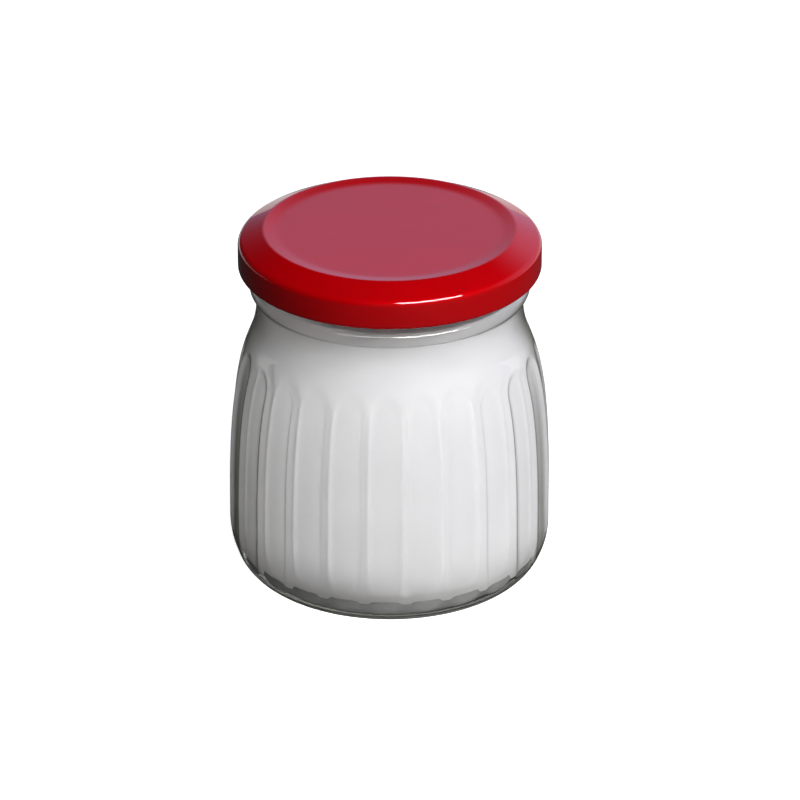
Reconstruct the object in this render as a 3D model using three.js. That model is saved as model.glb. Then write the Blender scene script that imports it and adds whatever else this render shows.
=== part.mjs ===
// A squat pudding bottle of clear pressed glass, with fluted sides, a smooth shoulder and a bead
// round its neck. It is filled with white pudding and shut by a lacquered tin twist-off lid.
// Millimetres, +Z up, with the origin at the middle of the base.

import * as THREE from "three";

// The outside of the glass, from the foot up
const FOOT_RADIUS = 30.7;
const FOOT_WIDTH = 4.7;
const PUNT_HEIGHT = 1.2;
const PUNT_RADIUS = 17;
const HEEL_HEIGHT = 12;
const HEEL_PULL_RADIUS = 35.6;
const HEEL_PULL_HEIGHT = 2.5;
const BODY_RADIUS = 36;
const SHOULDER_START = 16;
const SHOULDER_PULL = 59;
const NECK_PULL = 51;
const NECK_RADIUS = 29.5;
const NECK_HEIGHT = 65;
const BEAD_RADIUS = 31;
const BEAD_HEIGHT = 67.9;
const BEAD_HALF_HEIGHT = 1.8;
const BEAD_END_DEG = 60;
const FINISH_RADIUS = 29.9;
const RIM_HEIGHT = 79.6;
const RIM_ROUND = 0.9;

// The inside of the glass
const FLOOR_HEIGHT = 4.1;
const FLOOR_RADIUS = 23.5;
const INNER_HEEL_HEIGHT = 14;
const INNER_PULL_RADIUS = 32.2;
const INNER_RADIUS = 33;
const INNER_SHOULDER_PULL = 57.5;
const INNER_NECK_PULL = 50;
const MOUTH_RADIUS = 26.8;

// The flutes: shallow scoops side by side round the glass, round at the top and fading out below
const FLUTE_COUNT = 24;
const FLUTE_DEPTH = 0.8;
const FLUTE_SHARE = 0.94;
const FLUTE_FLATNESS = 2;
const FLUTE_BOTTOM = 4;
const FLUTE_LOWER_END = 12;
const FLUTE_TOP = 53.8;
const FLUTE_UPPER_END = 4.7;
const FIRST_RIDGE_DEG = -84.15;

// The lid of pressed sheet, and the pudding below it
const LID_RADIUS = 33.5;
const LID_BOTTOM = 72;
const LID_TOP = 81.2;
const LID_SHEET = 0.6;
const LID_SKIRT_TOP = 77.4;
const LID_EDGE_ROUND = 1.75;
const LID_SLOPE_DEG = 26;
const LID_CREST_ROUND = 1.2;
const LID_RAMP_DEG = 10;
const LID_PANEL_DEPTH = 0.47;
const LID_CURL_RADIUS = 0.9;
const PUDDING_LEVEL = 71.4;
const PUDDING_GAP = 0.3;

// How finely the round shapes are split
const PLAIN_COLUMNS = 2 * FLUTE_COUNT;
const FLUTE_HALF = FLUTE_SHARE / 2;
const FLUTE_QUARTER = 0.7 * FLUTE_HALF;
const FLUTE_COLUMNS = [-0.5, -FLUTE_HALF, -FLUTE_QUARTER, 0, FLUTE_QUARTER, FLUTE_HALF];
const LID_COLUMNS = 60;
const PUDDING_COLUMNS = 36;
const HEEL_ROWS = 5;
const END_ROWS = 5;
const SIDE_ROWS = 6;
const SHOULDER_ROWS = 4;
const CLOSE = 0.001;

const FLUTE_PITCH = (2 * Math.PI) / FLUTE_COUNT;
const FIRST_RIDGE = THREE.MathUtils.degToRad(FIRST_RIDGE_DEG);

function point(radius, height) {
  return new THREE.Vector2(radius, height);
}

// Points along an arc of an ellipse, given by its centre, its two radii and two angles in degrees.
function arc(centre, across, up, fromDeg, toDeg, steps) {
  const start = THREE.MathUtils.degToRad(fromDeg);
  const end = THREE.MathUtils.degToRad(toDeg);
  const curve = new THREE.EllipseCurve(centre.x, centre.y, across, up, start, end, toDeg < fromDeg);
  return curve.getPoints(steps);
}

function heel() {
  const pull = point(HEEL_PULL_RADIUS, HEEL_PULL_HEIGHT);
  return new THREE.QuadraticBezierCurve(point(FOOT_RADIUS, 0), pull, point(BODY_RADIUS, HEEL_HEIGHT));
}

function shoulder() {
  return new THREE.CubicBezierCurve(
    point(BODY_RADIUS, SHOULDER_START),
    point(BODY_RADIUS, SHOULDER_PULL),
    point(NECK_RADIUS, NECK_PULL),
    point(NECK_RADIUS, NECK_HEIGHT),
  );
}

// The radius of a rising curve at a height, found by halving the stretch that holds it.
function radiusAt(curve, height) {
  let low = 0;
  let high = 1;
  while (high - low > 1e-6) {
    const middle = (low + high) / 2;
    if (curve.getPoint(middle).y < height) {
      low = middle;
    } else {
      high = middle;
    }
  }
  return curve.getPoint(low).x;
}

function bodyRadius(height) {
  if (height < HEEL_HEIGHT) {
    return radiusAt(heel(), height);
  }
  return height < SHOULDER_START ? BODY_RADIUS : radiusAt(shoulder(), height);
}

// Evenly spaced values between two others, leaving both of them out.
function between(low, high, count) {
  const step = (high - low) / (count + 1);
  return Array.from({ length: count }, (_, place) => low + step * (place + 1));
}

// Heights of the rows from the foot to the neck, closer together where the flutes run out.
function bodyHeights() {
  const endShares = Array.from({ length: END_ROWS }, (_, row) => (row / (END_ROWS - 1)) ** 1.5);
  const lowerEnds = endShares.map((share) => FLUTE_BOTTOM + share * FLUTE_LOWER_END);
  const upperEnds = endShares.map((share) => FLUTE_TOP - share * FLUTE_UPPER_END).reverse();
  const heelRows = between(0, 1, HEEL_ROWS).map((share) => FLUTE_BOTTOM * share * share);
  const sides = between(FLUTE_BOTTOM + FLUTE_LOWER_END, FLUTE_TOP - FLUTE_UPPER_END, SIDE_ROWS);
  const above = between(FLUTE_TOP, NECK_HEIGHT, SHOULDER_ROWS);
  return [...heelRows, ...lowerEnds, ...sides, ...upperEnds, ...above, NECK_HEIGHT];
}

// How deep the scoop is at a share of the pitch from its middle line and at a height.
function fluteDepth(share, height) {
  const across = share / FLUTE_HALF;
  const below = Math.max(0, 1 - (height - FLUTE_BOTTOM) / FLUTE_LOWER_END);
  const above = Math.max(0, 1 - (FLUTE_TOP - height) / FLUTE_UPPER_END);
  const reach = (across * across + above * above) ** FLUTE_FLATNESS + below * below;
  return FLUTE_DEPTH * Math.max(0, 1 - reach);
}

function ringPoint(radius, height, turn) {
  const angle = FIRST_RIDGE + turn * FLUTE_PITCH;
  return new THREE.Vector3(radius * Math.cos(angle), radius * Math.sin(angle), height);
}

function plainRing(radius, height) {
  const ring = [];
  for (let column = 0; column < PLAIN_COLUMNS; column += 1) {
    ring.push(ringPoint(radius, height, (column * FLUTE_COUNT) / PLAIN_COLUMNS));
  }
  return ring;
}

function flutedRing(radius, height) {
  const ring = [];
  for (let flute = 0; flute < FLUTE_COUNT; flute += 1) {
    for (const share of FLUTE_COLUMNS) {
      ring.push(ringPoint(radius - fluteDepth(share, height), height, flute + share + 0.5));
    }
  }
  return ring;
}

// A closed skin through rings of points, each joined to the next whatever their numbers of points.
function skin(rings) {
  const positions = [];
  const triangles = [];
  const starts = [];
  for (const ring of rings) {
    starts.push(positions.length / 3);
    ring.forEach((corner) => positions.push(corner.x, corner.y, corner.z));
  }
  // At a pole the ring is one point, and a triangle with that point twice is left out.
  function addTriangle(first, second, third) {
    if (second !== first && second !== third) {
      triangles.push(first, second, third);
    }
  }
  for (let lower = 0; lower + 1 < rings.length; lower += 1) {
    const here = rings[lower].length;
    const next = rings[lower + 1].length;
    let i = 0;
    let j = 0;
    while (i < here || j < next) {
      const first = starts[lower] + (i % here);
      const third = starts[lower + 1] + (j % next);
      if (j === next || (i < here && (i + 1) * next <= (j + 1) * here)) {
        i += 1;
        addTriangle(first, starts[lower] + (i % here), third);
      } else {
        j += 1;
        addTriangle(first, starts[lower + 1] + (j % next), third);
      }
    }
  }
  const geometry = new THREE.BufferGeometry();
  geometry.setAttribute("position", new THREE.Float32BufferAttribute(positions, 3));
  geometry.setIndex(triangles);
  geometry.computeVertexNormals();
  return geometry;
}

// The inner outline of the glass, drawn in by a gap, from the middle of the floor to the neck.
function innerOutline(gap) {
  const floor = FLOOR_HEIGHT + gap;
  const side = INNER_RADIUS - gap;
  const mouth = MOUTH_RADIUS - gap;
  const innerHeel = new THREE.QuadraticBezierCurve(
    point(FLOOR_RADIUS - gap, floor),
    point(INNER_PULL_RADIUS - gap, floor),
    point(side, INNER_HEEL_HEIGHT),
  );
  const innerShoulder = new THREE.CubicBezierCurve(
    point(side, SHOULDER_START),
    point(side, INNER_SHOULDER_PULL),
    point(mouth, INNER_NECK_PULL),
    point(mouth, NECK_HEIGHT),
  );
  return [...innerHeel.getPoints(6), ...innerShoulder.getPoints(10)];
}

function bottleGeometry() {
  const rings = [[new THREE.Vector3(0, 0, PUNT_HEIGHT)]];
  const footInner = FOOT_RADIUS - FOOT_WIDTH;
  rings.push(plainRing(PUNT_RADIUS, PUNT_HEIGHT), plainRing(footInner, 0), plainRing(FOOT_RADIUS, 0));
  for (const height of bodyHeights()) {
    const inFlutes = height > FLUTE_BOTTOM - CLOSE && height < FLUTE_TOP + CLOSE;
    const ring = inFlutes ? flutedRing : plainRing;
    rings.push(ring(bodyRadius(height), height));
  }
  const beadCentre = point(NECK_RADIUS, BEAD_HEIGHT);
  const lip = RIM_HEIGHT - RIM_ROUND;
  const outside = [
    ...arc(beadCentre, BEAD_RADIUS - NECK_RADIUS, BEAD_HALF_HEIGHT, -90, BEAD_END_DEG, 6),
    point(FINISH_RADIUS, BEAD_HEIGHT + BEAD_HALF_HEIGHT),
    ...arc(point(FINISH_RADIUS - RIM_ROUND, lip), RIM_ROUND, RIM_ROUND, 0, 90, 3),
    ...arc(point(MOUTH_RADIUS + RIM_ROUND, lip), RIM_ROUND, RIM_ROUND, 90, 180, 3),
    ...innerOutline(0).reverse(),
  ];
  outside.forEach((spot) => rings.push(plainRing(spot.x, spot.y)));
  rings.push([new THREE.Vector3(0, 0, FLOOR_HEIGHT)]);
  return skin(rings);
}

// A solid of revolution about +Z from an outline that starts and ends on the axis.
function turned(outline, columns) {
  return new THREE.LatheGeometry(outline, columns).rotateX(Math.PI / 2);
}

function puddingGeometry() {
  const wall = innerOutline(PUDDING_GAP);
  const mouth = wall[wall.length - 1].x;
  const floor = point(0, wall[0].y);
  return turned([floor, ...wall, point(mouth, PUDDING_LEVEL), point(0, PUDDING_LEVEL)], PUDDING_COLUMNS);
}

// The lid's sheet: a sunk panel, a ramp up to the crest, a sloping shoulder, a rounded edge and a
// skirt that ends in a curl. The underside runs along the same arcs, one sheet's thickness in.
function lidGeometry() {
  const slope = Math.tan(THREE.MathUtils.degToRad(LID_SLOPE_DEG));
  const ramp = Math.tan(THREE.MathUtils.degToRad(LID_RAMP_DEG));
  const slopeFace = 90 - LID_SLOPE_DEG;
  const rampFace = 90 + LID_RAMP_DEG;
  const panel = LID_TOP - LID_PANEL_DEPTH;
  const edge = point(LID_RADIUS - LID_EDGE_ROUND, LID_SKIRT_TOP);
  const edgeArc = arc(edge, LID_EDGE_ROUND, LID_EDGE_ROUND, 0, slopeFace, 5);
  const edgeEnd = edgeArc[edgeArc.length - 1];
  const crestHeight = LID_TOP - LID_CREST_ROUND;
  const slopeTop = arc(point(0, crestHeight), LID_CREST_ROUND, LID_CREST_ROUND, slopeFace, rampFace, 1)[0];
  const crest = point(edgeEnd.x - (slopeTop.y - edgeEnd.y) / slope - slopeTop.x, crestHeight);
  const crestArc = arc(crest, LID_CREST_ROUND, LID_CREST_ROUND, slopeFace, rampFace, 3);
  const rampTop = crestArc[crestArc.length - 1];
  const panelRadius = rampTop.x - (rampTop.y - panel) / ramp;
  const innerEdge = LID_EDGE_ROUND - LID_SHEET;
  const innerCrest = LID_CREST_ROUND - LID_SHEET;
  const curlCentre = point(LID_RADIUS - LID_CURL_RADIUS, LID_BOTTOM + LID_CURL_RADIUS);
  const curlStart = Math.acos((LID_CURL_RADIUS - LID_SHEET) / LID_CURL_RADIUS);
  const curlStartDeg = THREE.MathUtils.radToDeg(curlStart);
  return turned(
    [
      point(0, panel - LID_SHEET),
      point(panelRadius, panel - LID_SHEET),
      ...arc(crest, innerCrest, innerCrest, rampFace, slopeFace, 3),
      ...arc(edge, innerEdge, innerEdge, slopeFace, 0, 4),
      ...arc(curlCentre, LID_CURL_RADIUS, LID_CURL_RADIUS, curlStartDeg, 360, 7),
      ...edgeArc,
      ...crestArc,
      point(panelRadius, panel),
      point(0, panel),
    ],
    LID_COLUMNS,
  );
}

function piece(name, geometry, color, roughness, metalness) {
  const material = new THREE.MeshStandardMaterial({ color, roughness, metalness });
  const mesh = new THREE.Mesh(geometry, material);
  mesh.name = name;
  return mesh;
}

const puddingBottle = new THREE.Group();
puddingBottle.name = "pudding_bottle";
puddingBottle.add(
  piece("bottle", bottleGeometry(), 0xd8dfdc, 0.05, 0),
  piece("pudding", puddingGeometry(), 0xf1efec, 0.5, 0),
  piece("lid", lidGeometry(), 0xb5121f, 0.2, 0.1),
);

export default puddingBottle;
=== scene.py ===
# %% [markdown]
# A glass pudding bottle
#
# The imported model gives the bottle, its pudding and its lid as faceted solids of the right size.
# This lesson puts a fine, smooth piece in the place of each, finishes them as clear glass, white
# pudding and red lacquer, and photographs them from above the front.

# %% Load the frame
import math

import bmesh
import bpy
from mathutils import Matrix, Vector
from mathutils.geometry import interpolate_bezier


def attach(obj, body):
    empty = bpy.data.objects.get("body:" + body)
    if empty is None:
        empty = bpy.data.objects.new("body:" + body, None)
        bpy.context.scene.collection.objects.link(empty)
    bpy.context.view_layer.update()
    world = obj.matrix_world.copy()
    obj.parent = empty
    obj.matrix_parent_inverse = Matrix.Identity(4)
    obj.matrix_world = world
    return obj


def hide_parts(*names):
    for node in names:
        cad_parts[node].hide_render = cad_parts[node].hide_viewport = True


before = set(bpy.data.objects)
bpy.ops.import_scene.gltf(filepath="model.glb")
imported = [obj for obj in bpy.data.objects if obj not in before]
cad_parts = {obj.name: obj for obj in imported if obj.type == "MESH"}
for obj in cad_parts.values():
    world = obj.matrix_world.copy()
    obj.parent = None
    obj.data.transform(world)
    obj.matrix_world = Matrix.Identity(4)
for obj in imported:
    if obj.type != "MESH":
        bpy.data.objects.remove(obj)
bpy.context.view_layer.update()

# %% [markdown]
# Outlines
#
# The real bottle is shaped in a round mould and the lid is stamped from a disc, so every piece is
# round about one axis. Each could be sculpted, but half an outline that is spun about the axis
# gives the same shape with only the points that its curves need. The helpers take millimetres.

# %% Points, curves and arcs of an outline
MM = 0.001


def spot(radius, height):
    """One point of an outline, at a radius and a height in millimetres."""
    return Vector((radius * MM, 0, height * MM))


def bend(start, pull, end, count):
    """Points on a curve from start to end that leans towards one pull."""
    return interpolate_bezier(start, start.lerp(pull, 2 / 3), end.lerp(pull, 2 / 3), end, count)


def arc(centre, across, up, from_deg, to_deg, count):
    """Points on an arc of an ellipse, between two angles counted from the outer side."""
    points = []
    for step in range(count):
        angle = math.radians(from_deg + (to_deg - from_deg) * step / (count - 1))
        points.append(centre + spot(across * math.cos(angle), up * math.sin(angle)))
    return points


print("A point 10 mm out and 5 mm up, in metres:", spot(10, 5))

# %% [markdown]
# Slices
#
# The real flutes repeat evenly round the bottle. A whole turn could be spun at once, but one slice
# that is spun, shaped and then repeated is quicker, and makes every flute alike. At the end the seams
# and the poles are merged, so that the skin is closed.

# %% Spin one slice and repeat it
SLICES = 24
SLICE = math.tau / SLICES
WELD = 0.004 * MM


def spin_slice(mesh, outline, steps):
    """Spins an outline through one slice of a turn and adds the skin to the mesh."""
    corners = [mesh.verts.new(point) for point in outline]
    edges = [mesh.edges.new(pair) for pair in zip(corners, corners[1:])]
    bmesh.ops.spin(
        mesh, geom=corners + edges, cent=(0, 0, 0), axis=(0, 0, 1), angle=SLICE, steps=steps
    )


def close_round(mesh):
    """Repeats one slice round the axis, merges the seams and poles and points the faces outwards."""
    bmesh.ops.spin(
        mesh,
        geom=mesh.verts[:] + mesh.edges[:] + mesh.faces[:],
        cent=(0, 0, 0),
        axis=(0, 0, 1),
        angle=math.tau - SLICE,
        steps=SLICES - 1,
        use_duplicate=True,
    )
    bmesh.ops.remove_doubles(mesh, verts=mesh.verts, dist=WELD)
    bmesh.ops.recalc_face_normals(mesh, faces=mesh.faces)


print("One slice in degrees:", round(math.degrees(SLICE), 1))


# %% Turn a mesh into a piece of the object
def make_piece(name, mesh, node):
    """Makes an object of a mesh that stands for a node, attaches it to the root and hides that node."""
    data = bpy.data.meshes.new(name)
    mesh.to_mesh(data)
    mesh.free()
    data.shade_smooth()
    piece = bpy.data.objects.new(name, data)
    bpy.context.scene.collection.objects.link(piece)
    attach(piece, "root")
    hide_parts(node)
    print(name, "has", len(data.polygons), "faces")
    return piece


# %% [markdown]
# The glass
#
# The bottle is moulded glass: a thick base with a shallow hollow below, a rounded heel, a side that
# leans in to a smooth shoulder, a neck with a bead and a plain finish under the lid. It could be one
# outline with a wall from Solidify, but the real wall is thicker at the base. So the outside and the
# inside are two outlines that meet on the rim. They are spun apart, so that the flutes can be pressed
# into the outside before the inside is there.

# %% The outside of the glass
BODY_RADIUS = 36
HEEL_HEIGHT = 12
SHOULDER_START = 16
NECK_RADIUS = 29.5
NECK_HEIGHT = 65
BEAD_HEIGHT = 67.9
BEAD_HALF_HEIGHT = 1.8
BEAD_DEPTH = 1.5
BEAD_END_DEG = 60
FINISH_RADIUS = 29.9
MOUTH_RADIUS = 26.8
RIM_HEIGHT = 79.6
RIM_ROUND = 0.9

FOOT_INNER = spot(26, 0)
FOOT_OUTER = spot(30.7, 0)
PUNT_MIDDLE = spot(0, 1.2)
PUNT_PULL = spot(18, 1.25)
HEEL_PULL = spot(35.6, 2.5)
SHOULDER_PULL = spot(BODY_RADIUS, 59)
NECK_PULL = spot(NECK_RADIUS, 51)


def outside_of_glass():
    """The outline from the middle of the base up to the middle of the rim."""
    heel_top = spot(BODY_RADIUS, HEEL_HEIGHT)
    side_top = spot(BODY_RADIUS, SHOULDER_START)
    neck = spot(NECK_RADIUS, NECK_HEIGHT)
    bead = spot(NECK_RADIUS, BEAD_HEIGHT)
    lip = spot(FINISH_RADIUS - RIM_ROUND, RIM_HEIGHT - RIM_ROUND)
    return [
        *bend(PUNT_MIDDLE, PUNT_PULL, FOOT_INNER, count=8),
        *bend(FOOT_OUTER, HEEL_PULL, heel_top, count=28),
        *interpolate_bezier(side_top, SHOULDER_PULL, NECK_PULL, neck, 52),
        *arc(bead, BEAD_DEPTH, BEAD_HALF_HEIGHT, from_deg=-90, to_deg=BEAD_END_DEG, count=12),
        spot(FINISH_RADIUS, BEAD_HEIGHT + BEAD_HALF_HEIGHT),
        *arc(lip, RIM_ROUND, RIM_ROUND, from_deg=0, to_deg=90, count=6),
        spot((FINISH_RADIUS + MOUTH_RADIUS) / 2, RIM_HEIGHT),
    ]


print("Outside of the glass:", len(outside_of_glass()), "points")

# %% The inside of the glass
FLOOR_HEIGHT = 4.1
FLOOR_RADIUS = 23.5
INNER_HEEL_PULL = 32.2
INNER_HEEL_HEIGHT = 14
INNER_RADIUS = 33
INNER_SHOULDER_PULL = 57.5
INNER_NECK_PULL = 50


def inside_of_glass(grow):
    """The outline from the middle of the floor up to the neck, moved into the wall by grow."""
    floor_height = FLOOR_HEIGHT - grow
    side = INNER_RADIUS + grow
    mouth = MOUTH_RADIUS + grow
    floor_edge = spot(FLOOR_RADIUS + grow, floor_height)
    heel_pull = spot(INNER_HEEL_PULL + grow, floor_height)
    return [
        spot(0, floor_height),
        *bend(floor_edge, heel_pull, spot(side, INNER_HEEL_HEIGHT), count=14),
        *interpolate_bezier(
            spot(side, SHOULDER_START),
            spot(side, INNER_SHOULDER_PULL),
            spot(mouth, INNER_NECK_PULL),
            spot(mouth, NECK_HEIGHT),
            26,
        ),
    ]


print("Inside of the glass:", len(inside_of_glass(0)), "points")

# %% [markdown]
# The flutes
#
# The mould's flutes are shallow scoops with flat floors and narrow ridges between them, round at the
# top and fading out towards the heel. They could be cut one by one with a Boolean, but a formula that
# draws each point of the skin towards the axis keeps the mesh even: deepest along the middle of a
# flute, and nothing on the ridges. Hot glass that is pushed into a mould carries the relief through, so
# the inside has the same flutes, but fainter. The columns of the mesh crowd together at the ridges,
# where the skin bends most.

# %% How deep a flute is
FLUTE_DEPTH = 0.8 * MM
FLUTE_FLATNESS = 2
INNER_FLUTE_DEPTH = 0.45 * MM
INNER_FLUTE_FLATNESS = 2.75
FLUTE_SHARE = 0.94
FLUTE_BOTTOM = 4 * MM
FLUTE_LOWER_END = 12 * MM
FLUTE_TOP = 53.8 * MM
FLUTE_UPPER_END = 4.7 * MM
RIDGE_SOFTNESS = 0.01


def flute_shape(turn, height, flatness):
    """How deep a flute is, from 0 on its ridges to 1 on its floor, at a share of its pitch and a height."""
    across = (turn - 0.5) / (FLUTE_SHARE / 2)
    below = max(0, 1 - (height - FLUTE_BOTTOM) / FLUTE_LOWER_END)
    above = max(0, 1 - (FLUTE_TOP - height) / FLUTE_UPPER_END)
    inside = 1 - (across**2 + above**2) ** flatness - below**2
    return (inside + math.sqrt(inside**2 + RIDGE_SOFTNESS)) / 2


flute_middle = (FLUTE_BOTTOM + FLUTE_TOP) / 2
print("Depth on the floor, as a share:", round(flute_shape(0.5, flute_middle, FLUTE_FLATNESS), 3))

# %% Press a flute into a slice
FIRST_RIDGE = math.radians(-84.15)
RIDGE_CROWDING = 0.6
RIDGE_TURN = Matrix.Rotation(FIRST_RIDGE, 3, "Z")
FLUTE_FADE = 2 * MM


def press_flute(corners, depth, flatness):
    """Crowds one slice's columns towards its ridges and draws its fluted part towards the axis."""
    for corner in corners:
        turn = (math.atan2(corner.co.y, corner.co.x) - FIRST_RIDGE) / SLICE
        shift = -RIDGE_CROWDING * math.sin(math.tau * turn) / math.tau
        corner.co.rotate(Matrix.Rotation(shift * SLICE, 3, "Z"))
        if FLUTE_BOTTOM - FLUTE_FADE < corner.co.z < FLUTE_TOP + FLUTE_FADE:
            level = Vector((corner.co.x, corner.co.y, 0))
            corner.co -= level.normalized() * depth * flute_shape(turn + shift, corner.co.z, flatness)


# %% Spin one flute of the outside
GLASS_STEPS = 24

glass_mesh = bmesh.new()
spin_slice(glass_mesh, [RIDGE_TURN @ point for point in outside_of_glass()], GLASS_STEPS)
press_flute(glass_mesh.verts, FLUTE_DEPTH, FLUTE_FLATNESS)
outside_corners = set(glass_mesh.verts)
print("One slice of the outside has", len(outside_corners), "corners")

# %% Add the inside of the glass and close the round
inner_lip = spot(MOUTH_RADIUS + RIM_ROUND, RIM_HEIGHT - RIM_ROUND)
inside = inside_of_glass(0)
inside += arc(inner_lip, RIM_ROUND, RIM_ROUND, from_deg=180, to_deg=90, count=6)
inside.append(outside_of_glass()[-1])
spin_slice(glass_mesh, [RIDGE_TURN @ point for point in inside], GLASS_STEPS)
inside_corners = [corner for corner in glass_mesh.verts if corner not in outside_corners]
press_flute(inside_corners, INNER_FLUTE_DEPTH, INNER_FLUTE_FLATNESS)
close_round(glass_mesh)
glass = make_piece("glass_bottle", glass_mesh, "bottle")

# %% [markdown]
# The pudding
#
# The pudding was poured in warm and set against the glass, so it has the inside's own outline. A copy
# of the inner skin would do, but it must reach a hair into the wall: with a gap, the glass would
# mirror an air film that isn't there. So the same outline is spun again, grown by that hair. Its top is
# hidden by the lid and climbs a little where it meets the neck.

# %% Spin the pudding
PUDDING_BITE = 0.15
PUDDING_LEVEL = 71.4
PUDDING_CLIMB = 0.6
CLIMB_PULL = 1.2
CLIMB_WIDTH = 4
PUDDING_STEPS = 16

pudding_edge = MOUTH_RADIUS + PUDDING_BITE
pudding_outline = inside_of_glass(PUDDING_BITE)
pudding_outline += bend(
    spot(pudding_edge, PUDDING_LEVEL + PUDDING_CLIMB),
    spot(pudding_edge - CLIMB_PULL, PUDDING_LEVEL),
    spot(pudding_edge - CLIMB_WIDTH, PUDDING_LEVEL),
    count=8,
)
pudding_outline.append(spot(0, PUDDING_LEVEL))
pudding_mesh = bmesh.new()
spin_slice(pudding_mesh, [RIDGE_TURN @ point for point in pudding_outline], PUDDING_STEPS)
press_flute(pudding_mesh.verts, INNER_FLUTE_DEPTH, INNER_FLUTE_FLATNESS)
close_round(pudding_mesh)
pudding = make_piece("pudding_filling", pudding_mesh, "pudding")

# %% [markdown]
# The lid
#
# The lid is stamped from lacquered tin: a flat panel sunk inside a raised ring, a shoulder that slopes
# to a rounded edge, a straight skirt, and a lower edge that is rolled inwards so that it doesn't cut.
# Bevels on a cylinder could round it, but an outline of arcs gives each bend its own radius. The
# outline runs along the underside first and comes back over the top.

# %% The outline of the lid
LID_RADIUS = 33.5
LID_BOTTOM = 72
LID_TOP = 81.2
LID_SHEET = 0.6
LID_SKIRT_TOP = 77.4
LID_EDGE_ROUND = 1.75
LID_SLOPE_DEG = 26
LID_CREST_ROUND = 1.2
LID_RAMP_DEG = 10
LID_PANEL_DEPTH = 0.47
LID_FOOT_SHARE = 0.4
LID_FOOT_WIDTH = 1
LID_FLAT_WIDTH = 4
LID_CURL = 0.9


def round_arc(centre, radius, from_deg, to_deg, count):
    """Points on an arc of a circle."""
    return arc(centre, radius, radius, from_deg, to_deg, count)


def lid_outline():
    """The outline from the middle of the underside round the rolled edge to the middle of the top."""
    panel = LID_TOP - LID_PANEL_DEPTH
    slope_face = 90 - LID_SLOPE_DEG
    ramp_face = 90 + LID_RAMP_DEG
    edge = spot(LID_RADIUS - LID_EDGE_ROUND, LID_SKIRT_TOP)
    edge_arc = round_arc(edge, LID_EDGE_ROUND, 0, slope_face, count=14)
    crest = spot(0, LID_TOP - LID_CREST_ROUND)
    slope_top = round_arc(crest, LID_CREST_ROUND, slope_face, ramp_face, count=2)[0]
    rise = slope_top.z - edge_arc[-1].z
    crest.x = edge_arc[-1].x - rise / math.tan(math.radians(LID_SLOPE_DEG)) - slope_top.x
    crest_arc = round_arc(crest, LID_CREST_ROUND, slope_face, ramp_face, count=10)
    drop = crest_arc[-1].z / MM - panel
    panel_radius = crest_arc[-1].x / MM - drop / math.tan(math.radians(LID_RAMP_DEG))
    ramp_foot = spot(panel_radius, panel)
    ramp_low = ramp_foot.lerp(crest_arc[-1], LID_FOOT_SHARE)
    curl = spot(LID_RADIUS - LID_CURL, LID_BOTTOM + LID_CURL)
    curl_start = math.degrees(math.acos((LID_CURL - LID_SHEET) / LID_CURL))
    return [
        spot(0, panel - LID_SHEET),
        spot(panel_radius, panel - LID_SHEET),
        *round_arc(crest, LID_CREST_ROUND - LID_SHEET, ramp_face, slope_face, count=8),
        *round_arc(edge, LID_EDGE_ROUND - LID_SHEET, slope_face, 0, count=10),
        *round_arc(curl, LID_CURL, curl_start, 360, count=24),
        *edge_arc,
        *crest_arc,
        *bend(ramp_low, ramp_foot, spot(panel_radius - LID_FOOT_WIDTH, panel), count=8),
        spot(panel_radius - LID_FLAT_WIDTH, panel),
        spot(0, panel),
    ]


print("Outline of the lid:", len(lid_outline()), "points")

# %% Spin the lid
LID_STEPS = 8

lid_mesh = bmesh.new()
spin_slice(lid_mesh, lid_outline(), LID_STEPS)
close_round(lid_mesh)
lid = make_piece("twist_lid", lid_mesh, "lid")

# %% [markdown]
# Unevenness
#
# Moulded glass, lacquer and set pudding are all smooth, but none is perfectly even. Pictures could
# show that, but noise in a piece's own coordinates has no seams and needs no picture. It is one node
# group, and every finish places it with its own scales.


# %% A start for every finish
def start_finish(name):
    """Makes a material with a Principled shader and gives its nodes, links and that shader."""
    material = bpy.data.materials.new(name)
    material.use_nodes = True
    nodes = material.node_tree.nodes
    print("Finish:", name)
    return material, nodes, material.node_tree.links, nodes["Principled BSDF"]


def bump_from(nodes, links, shader, height, strength, distance):
    """Lets a height shape the light on a shader through a Bump node."""
    bump = nodes.new("ShaderNodeBump")
    bump.inputs["Strength"].default_value = strength
    bump.inputs["Distance"].default_value = distance
    links.new(height, bump.inputs["Height"])
    links.new(bump.outputs["Normal"], shader.inputs["Normal"])


# %% The shared noise
def uneven_group():
    """Noise in the piece's own coordinates: a broad one for height and a patchy one for tone."""
    group = bpy.data.node_groups.new("Uneven surface", "ShaderNodeTree")
    face = group.interface
    for name, value in (("Wave scale", 60.0), ("Patch scale", 40.0)):
        socket = face.new_socket(name, in_out="INPUT", socket_type="NodeSocketFloat")
        socket.default_value = value
    for name in ("Height", "Patches"):
        face.new_socket(name, in_out="OUTPUT", socket_type="NodeSocketFloat")
    nodes = group.nodes
    links = group.links
    start = nodes.new("NodeGroupInput")
    end = nodes.new("NodeGroupOutput")
    place = nodes.new("ShaderNodeTexCoord")
    for scale, detail, result in (("Wave scale", 1.0, "Height"), ("Patch scale", 5.0, "Patches")):
        noise = nodes.new("ShaderNodeTexNoise")
        noise.inputs["Detail"].default_value = detail
        links.new(place.outputs["Object"], noise.inputs["Vector"])
        links.new(start.outputs[scale], noise.inputs["Scale"])
        links.new(noise.outputs["Fac"], end.inputs[result])
    return group


uneven = uneven_group()
print("Shared group:", uneven.name)


def add_uneven(nodes, wave_scale, patch_scale):
    """Places the shared noise group in a material with its own scales."""
    node = nodes.new("ShaderNodeGroup")
    node.node_tree = uneven
    node.inputs["Wave scale"].default_value = wave_scale
    node.inputs["Patch scale"].default_value = patch_scale
    return node


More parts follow.
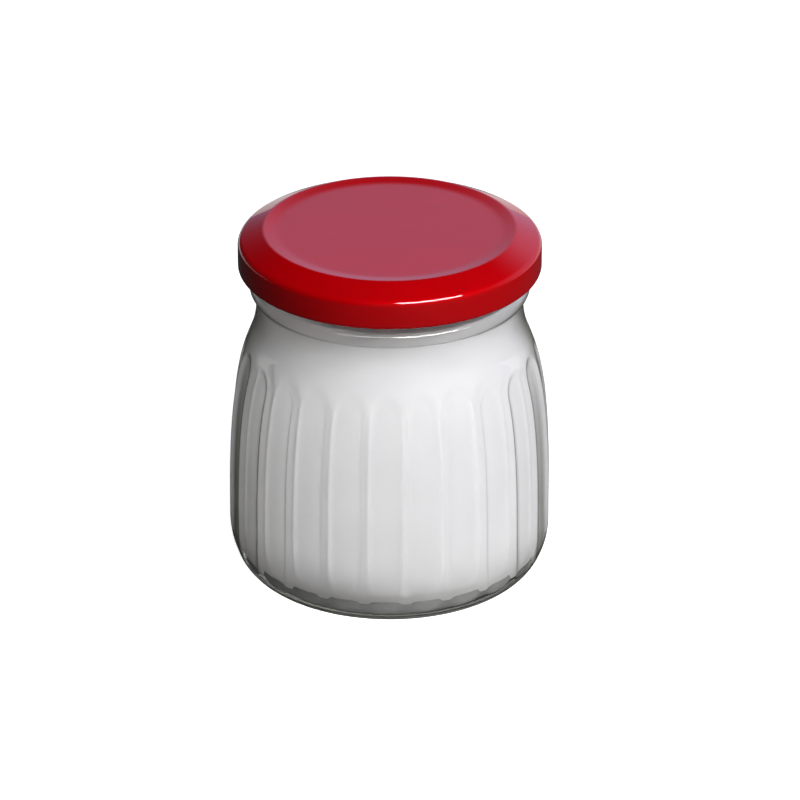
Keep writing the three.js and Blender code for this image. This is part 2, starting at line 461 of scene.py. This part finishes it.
# %% Tones and ranges
def tone_between(nodes, links, factor, dark, light):
    """Mixes two colours by a factor and gives the colour socket."""
    mix = nodes.new("ShaderNodeMix")
    mix.data_type = "RGBA"
    mix.inputs["A"].default_value = (*dark, 1)
    mix.inputs["B"].default_value = (*light, 1)
    links.new(factor, mix.inputs["Factor"])
    return mix.outputs["Result"]


def map_range(nodes, links, value, start, end, low, high):
    """Maps a value that goes from start to end smoothly to a range and gives the value socket."""
    node = nodes.new("ShaderNodeMapRange")
    node.interpolation_type = "SMOOTHSTEP"
    node.inputs["From Min"].default_value = start
    node.inputs["From Max"].default_value = end
    node.inputs["To Min"].default_value = low
    node.inputs["To Max"].default_value = high
    links.new(value, node.inputs["Value"])
    return node.outputs["Result"]


def combine(nodes, links, operation, first, second):
    """Joins two values by an operation and gives the value socket."""
    node = nodes.new("ShaderNodeMath")
    node.operation = operation
    links.new(first, node.inputs[0])
    links.new(second, node.inputs[1])
    return node.outputs["Value"]


# Noise mostly stays between these two values
PATCH_LOW = 0.3
PATCH_HIGH = 0.7


def patchy_roughness(nodes, links, shader, noise, low, high):
    """Lets the patches of the noise change how rough a shader is."""
    rough = map_range(nodes, links, noise.outputs["Patches"], PATCH_LOW, PATCH_HIGH, low, high)
    links.new(rough, shader.inputs["Roughness"])


# %% [markdown]
# Clear glass
#
# Clear glass shows only by what it bends and mirrors. A see-through colour would be quick but flat, so
# this is a Principled shader with full transmission. Where it turns away from the eye its base colour is
# painted dark, a painted shade for the dark room that a thick rim gathers. Shadows pass straight through,
# which lights the pudding without slow caustics, and a volume gives the thick base its grey depth.

# %% Glass on the bottle
GLASS_IOR = 1.5
GLASS_FACE_TONE = (1, 1, 1)
GLASS_EDGE_PAINTED_SHADE = (0.1, 0.1, 0.06)
GLASS_SHADOW_TONE = (0.94, 0.94, 0.94, 1)
GLASS_DEPTH_TONE = (0.52, 0.53, 0.48, 1)
GLASS_DEPTH_DENSITY = 20


def clear_glass():
    """Clear moulded glass with painted dark edges, a grey depth and a slightly wavy surface."""
    material, nodes, links, shader = start_finish("clear_glass")
    # Painted shade: the base colour turns dark where the glass faces away from the eye.
    facing = nodes.new("ShaderNodeLayerWeight").outputs["Facing"]
    edge = map_range(nodes, links, facing, start=0.48, end=0.88, low=0, high=1)
    tone = tone_between(nodes, links, edge, GLASS_FACE_TONE, GLASS_EDGE_PAINTED_SHADE)
    links.new(tone, shader.inputs["Base Color"])
    shader.inputs["IOR"].default_value = GLASS_IOR
    shader.inputs["Transmission Weight"].default_value = 1
    noise = add_uneven(nodes, wave_scale=55, patch_scale=30)
    patchy_roughness(nodes, links, shader, noise, low=0, high=0.03)
    bump_from(nodes, links, shader, noise.outputs["Height"], strength=0.25, distance=0.6 * MM)
    clear = nodes.new("ShaderNodeBsdfTransparent")
    clear.inputs["Color"].default_value = GLASS_SHADOW_TONE
    path = nodes.new("ShaderNodeLightPath")
    mix = nodes.new("ShaderNodeMixShader")
    links.new(path.outputs["Is Shadow Ray"], mix.inputs["Fac"])
    links.new(shader.outputs["BSDF"], mix.inputs[1])
    links.new(clear.outputs["BSDF"], mix.inputs[2])
    out = nodes["Material Output"]
    links.new(mix.outputs["Shader"], out.inputs["Surface"])
    depth = nodes.new("ShaderNodeVolumeAbsorption")
    depth.inputs["Color"].default_value = GLASS_DEPTH_TONE
    depth.inputs["Density"].default_value = GLASS_DEPTH_DENSITY
    links.new(depth.outputs["Volume"], out.inputs["Volume"])
    return material


glass.data.materials.append(clear_glass())

# %% [markdown]
# White pudding
#
# Set milk pudding is soft white and hardly shines. Light that scatters below its skin could be
# shown too, but that blurs the shading that makes the flutes readable, so it is an opaque, nearly
# white surface with a faint mottle.

# %% Pudding in the bottle
PUDDING_DARK = (0.75, 0.745, 0.745)
PUDDING_LIGHT = (0.8, 0.8, 0.805)
PUDDING_ROUGHNESS = 0.45


def white_pudding():
    """Smooth milk pudding, near white with a faint mottle."""
    material, nodes, links, shader = start_finish("white_pudding")
    noise = add_uneven(nodes, wave_scale=90, patch_scale=120)
    tone = tone_between(nodes, links, noise.outputs["Patches"], PUDDING_DARK, PUDDING_LIGHT)
    links.new(tone, shader.inputs["Base Color"])
    shader.inputs["Roughness"].default_value = PUDDING_ROUGHNESS
    bump_from(nodes, links, shader, noise.outputs["Height"], strength=0.15, distance=0.4 * MM)
    return material


pudding.data.materials.append(white_pudding())

# %% [markdown]
# Red lacquer
#
# The lid is tin under baked lacquer: red below and a hard, clear gloss above. One shiny red layer would
# be simpler, but a clear coat over a dull red keeps the red deep and the reflections sharp.

# %% Lacquer on the lid
LACQUER_DARK = (0.74, 0.0, 0.003)
LACQUER_LIGHT = (0.84, 0.0, 0.004)
LACQUER_METAL = 0.1
COAT_WEIGHT = 0.9
COAT_ROUGHNESS = 0.04


def red_lacquer():
    """Glossy red lacquer baked on tin, with a faint orange-peel and handling marks."""
    material, nodes, links, shader = start_finish("red_lacquer")
    noise = add_uneven(nodes, wave_scale=400, patch_scale=90)
    tone = tone_between(nodes, links, noise.outputs["Patches"], LACQUER_DARK, LACQUER_LIGHT)
    links.new(tone, shader.inputs["Base Color"])
    patchy_roughness(nodes, links, shader, noise, low=0.5, high=0.58)
    shader.inputs["Metallic"].default_value = LACQUER_METAL
    shader.inputs["Specular IOR Level"].default_value = 0
    shader.inputs["Coat Weight"].default_value = COAT_WEIGHT
    shader.inputs["Coat Roughness"].default_value = COAT_ROUGHNESS
    bump_from(nodes, links, shader, noise.outputs["Height"], strength=0.06, distance=0.1 * MM)
    return material


lid.data.materials.append(red_lacquer())

# %% [markdown]
# The floor
#
# The bottle stands on a seamless pale floor. A floor that is white for every ray would light the glass
# from all round and wash out its edges. So its tone depends on the ray: white for the camera and dim
# for the light that falls on the bottle, with a painted pool of light glowing below the bottle for rays
# that come through the glass, and a painted glow at the far end for reflections on the lid.

# %% The tones of the floor
FLOOR_DIM = (0.05, 0.048, 0.045)
FLOOR_PALE = (0.95, 0.95, 0.95)
FLOOR_GLOW = 0.9
FLOOR_ROUGHNESS = 0.8
# Where the painted pool of light lies on the floor, and how small it is.
PAINTED_POOL_SHIFT = (-0.55, 0.15, 0)
PAINTED_POOL_SCALE = (16, 16, 16)


def painted_pool_below(nodes, links, place):
    """A painted pool of light, glowing brightest below the bottle, a little to its right."""
    size = nodes.new("ShaderNodeMapping")
    size.inputs["Location"].default_value = PAINTED_POOL_SHIFT
    size.inputs["Scale"].default_value = PAINTED_POOL_SCALE
    links.new(place, size.inputs["Vector"])
    ball = nodes.new("ShaderNodeTexGradient")
    ball.gradient_type = "SPHERICAL"
    links.new(size.outputs["Vector"], ball.inputs["Vector"])
    return map_range(nodes, links, ball.outputs["Fac"], start=0.05, end=0.75, low=0.1, high=1.1)


def painted_glow_behind(nodes, links, place):
    """A painted glow, seen in reflections, that begins some way behind the bottle, in metres."""
    split = nodes.new("ShaderNodeSeparateXYZ")
    links.new(place, split.inputs["Vector"])
    return map_range(nodes, links, split.outputs["Y"], start=0.18, end=0.4, low=0, high=0.9)


# %% The finish of the floor
def pale_floor():
    """Paint whose tone and glow depend on the ray that meets it, with a painted pool of light and a painted
    glow.
    """
    material, nodes, links, shader = start_finish("pale_floor")
    shader.inputs["Roughness"].default_value = FLOOR_ROUGHNESS
    place = nodes.new("ShaderNodeTexCoord").outputs["Object"]
    ray = nodes.new("ShaderNodeLightPath").outputs
    tone = tone_between(nodes, links, ray["Is Camera Ray"], FLOOR_DIM, FLOOR_PALE)
    links.new(tone, shader.inputs["Base Color"])
    # Painted light: the floor glows in a pool below the bottle for rays through the glass, and far behind
    # for reflections on the lid.
    pool = combine(nodes, links, "MULTIPLY", painted_pool_below(nodes, links, place), ray["Is Transmission Ray"])
    back = combine(nodes, links, "MULTIPLY", painted_glow_behind(nodes, links, place), ray["Is Glossy Ray"])
    glow = nodes.new("ShaderNodeMix")
    links.new(ray["Is Camera Ray"], glow.inputs["Factor"])
    links.new(combine(nodes, links, "ADD", pool, back), glow.inputs["A"])
    glow.inputs["B"].default_value = FLOOR_GLOW
    links.new(glow.outputs["Result"], shader.inputs["Emission Color"])
    shader.inputs["Emission Strength"].default_value = 1
    return material


# %% Lay the floor
FLOOR_SIZE = 12.0

floor_mesh = bmesh.new()
bmesh.ops.create_grid(floor_mesh, x_segments=1, y_segments=1, size=FLOOR_SIZE / 2)
floor_data = bpy.data.meshes.new("studio_floor")
floor_mesh.to_mesh(floor_data)
floor_mesh.free()
floor = bpy.data.objects.new("studio_floor", floor_data)
bpy.context.scene.collection.objects.link(floor)
floor.data.materials.append(pale_floor())
print("The floor is", FLOOR_SIZE, "metres wide")

# %% [markdown]
# The lights
#
# The photo has one broad soft light, high at the front right. One lamp could do it all, but what suits
# the gloss of the lid would burn out the white pudding. So the window light is gentle, a twin shows
# only as its reflection, a strip shows only as a line of light on the glass, and a low fill in front
# and another behind reach the pudding alone, so that it is white from every side.

# %% A soft light
AIM = Vector((0, 0, 42 * MM))


def softbox(name, azimuth, elevation, distance, width, height, power, colour):
    """A soft area light that faces the bottle. Azimuth 0 is the camera's side, positive to its right."""
    light = bpy.data.lights.new(name, "AREA")
    light.shape = "RECTANGLE"
    light.size = width
    light.size_y = height
    light.energy = power
    light.color = colour
    lamp = bpy.data.objects.new(name, light)
    turn = math.radians(azimuth)
    tilt = math.radians(elevation)
    out = Vector((math.sin(turn) * math.cos(tilt), -math.cos(turn) * math.cos(tilt), math.sin(tilt)))
    lamp.location = AIM + out * distance
    lamp.rotation_euler = out.to_track_quat("Z", "Y").to_euler()
    bpy.context.scene.collection.objects.link(lamp)
    print("Light:", name)
    return lamp


def light_only(lamp, pieces):
    """Lets a light reach only the given pieces."""
    reached = bpy.data.collections.new("lit_by_" + lamp.name)
    for piece in pieces:
        reached.objects.link(piece)
    lamp.light_linking.receiver_collection = reached


def gloss_only(lamp):
    """Lets a light show as a reflection without brightening what it falls on."""
    lamp.visible_diffuse = False
    lamp.visible_transmission = False


# %% Set up the lights
WINDOW_PLACE = {"azimuth": 34, "elevation": 45, "width": 0.75, "height": 0.27}
STRIP_PLACE = {"azimuth": 12, "elevation": 48, "width": 2.2, "height": 0.25}
FILL_PLACE = {"azimuth": -18, "elevation": 6, "width": 1.6, "height": 0.8}
BACK_PLACE = {"azimuth": 180, "elevation": 15, "width": 1.0, "height": 0.8}
COOL_WHITE = (0.965, 0.965, 1)
WARM_WHITE = (1, 0.97, 0.945)
WHITE = (1, 1, 1)

softbox("window_light", **WINDOW_PLACE, distance=1.0, power=6.8, colour=COOL_WHITE)
gloss_only(softbox("window_glint", **WINDOW_PLACE, distance=1.01, power=12, colour=WHITE))
strip = softbox("glass_glint", **STRIP_PLACE, distance=1.0, power=15, colour=WHITE)
gloss_only(strip)
light_only(strip, [glass])
fill = softbox("fill_light", **FILL_PLACE, distance=1.2, power=6.3, colour=WARM_WHITE)
light_only(fill, [pudding])
back_fill = softbox("back_fill", **BACK_PLACE, distance=1.2, power=14, colour=WHITE)
light_only(back_fill, [pudding])

# %% [markdown]
# The world
#
# The room is bright near the horizon, bluish behind the bottle, and dark overhead and on the left. An
# even grey would be simpler, but the bright back gives the lid's panel its pale sheen, and the dark
# side is what draws the edges of clear glass. Rays that come through the glass see a dim room, which
# keeps those edges dark.

# %% World
SKY_FRONT = (0.1, 0.1, 0.1)
SKY_BACK = (0.5, 0.56, 0.86)
SKY_THROUGH_GLASS = (0.1, 0.1, 0.08, 1)

world = bpy.data.worlds.new("studio_world")
bpy.context.scene.world = world
world.use_nodes = True
sky_nodes = world.node_tree.nodes
sky_links = world.node_tree.links
background = sky_nodes["Background"]
direction = sky_nodes.new("ShaderNodeSeparateXYZ")
sky_links.new(sky_nodes.new("ShaderNodeTexCoord").outputs["Generated"], direction.inputs["Vector"])


def ramp_along(axis, start, end, low, high):
    """A smooth change of a value along one axis of the world."""
    return map_range(sky_nodes, sky_links, direction.outputs[axis], start, end, low, high)


upwards = ramp_along("Z", start=0.4, end=0.74, low=1.05, high=0.03)
sideways = ramp_along("X", start=-0.5, end=0.05, low=0.03, high=1.0)
backwards = ramp_along("Y", start=-0.3, end=0.6, low=0, high=1)
sky_links.new(combine(sky_nodes, sky_links, "MULTIPLY", upwards, sideways), background.inputs["Strength"])
seen = sky_nodes.new("ShaderNodeMix")
seen.data_type = "RGBA"
sky_ray = sky_nodes.new("ShaderNodeLightPath").outputs
sky_links.new(sky_ray["Is Transmission Ray"], seen.inputs["Factor"])
sky_links.new(tone_between(sky_nodes, sky_links, backwards, SKY_FRONT, SKY_BACK), seen.inputs["A"])
seen.inputs["B"].default_value = SKY_THROUGH_GLASS
sky_links.new(seen.outputs["Result"], background.inputs["Color"])
print("World:", world.name)

# %% [markdown]
# The camera
#
# The photo looks down on the bottle by 26 degrees from far away, so its sides hardly converge. A
# near camera with a wide lens would fill the picture too, but would taper the bottle. A long lens
# keeps the flatness, and a small shift puts the bottle where the photo has it.

# %% Camera
CAMERA_ELEVATION = math.radians(26)
CAMERA_DISTANCE = 1.3
SENSOR_WIDTH = 36
IMAGE_SIZE = 800
PIXELS_PER_MM = 4.49
AIM_PIXEL = (389.8, 388.0)

camera_data = bpy.data.cameras.new("photo_camera")
camera_data.sensor_width = SENSOR_WIDTH
focal_pixels = PIXELS_PER_MM * CAMERA_DISTANCE / MM
camera_data.lens = focal_pixels / IMAGE_SIZE * SENSOR_WIDTH
camera_data.shift_x = (IMAGE_SIZE / 2 - AIM_PIXEL[0]) / IMAGE_SIZE
camera_data.shift_y = (AIM_PIXEL[1] - IMAGE_SIZE / 2) / IMAGE_SIZE
camera = bpy.data.objects.new("photo_camera", camera_data)
away = Vector((0, -math.cos(CAMERA_ELEVATION), math.sin(CAMERA_ELEVATION)))
camera.location = AIM + away * CAMERA_DISTANCE
camera.rotation_euler = away.to_track_quat("Z", "Y").to_euler()
bpy.context.scene.collection.objects.link(camera)
bpy.context.scene.camera = camera
bpy.context.scene.view_settings.view_transform = "Standard"
print("Lens in millimetres:", round(camera_data.lens, 1))
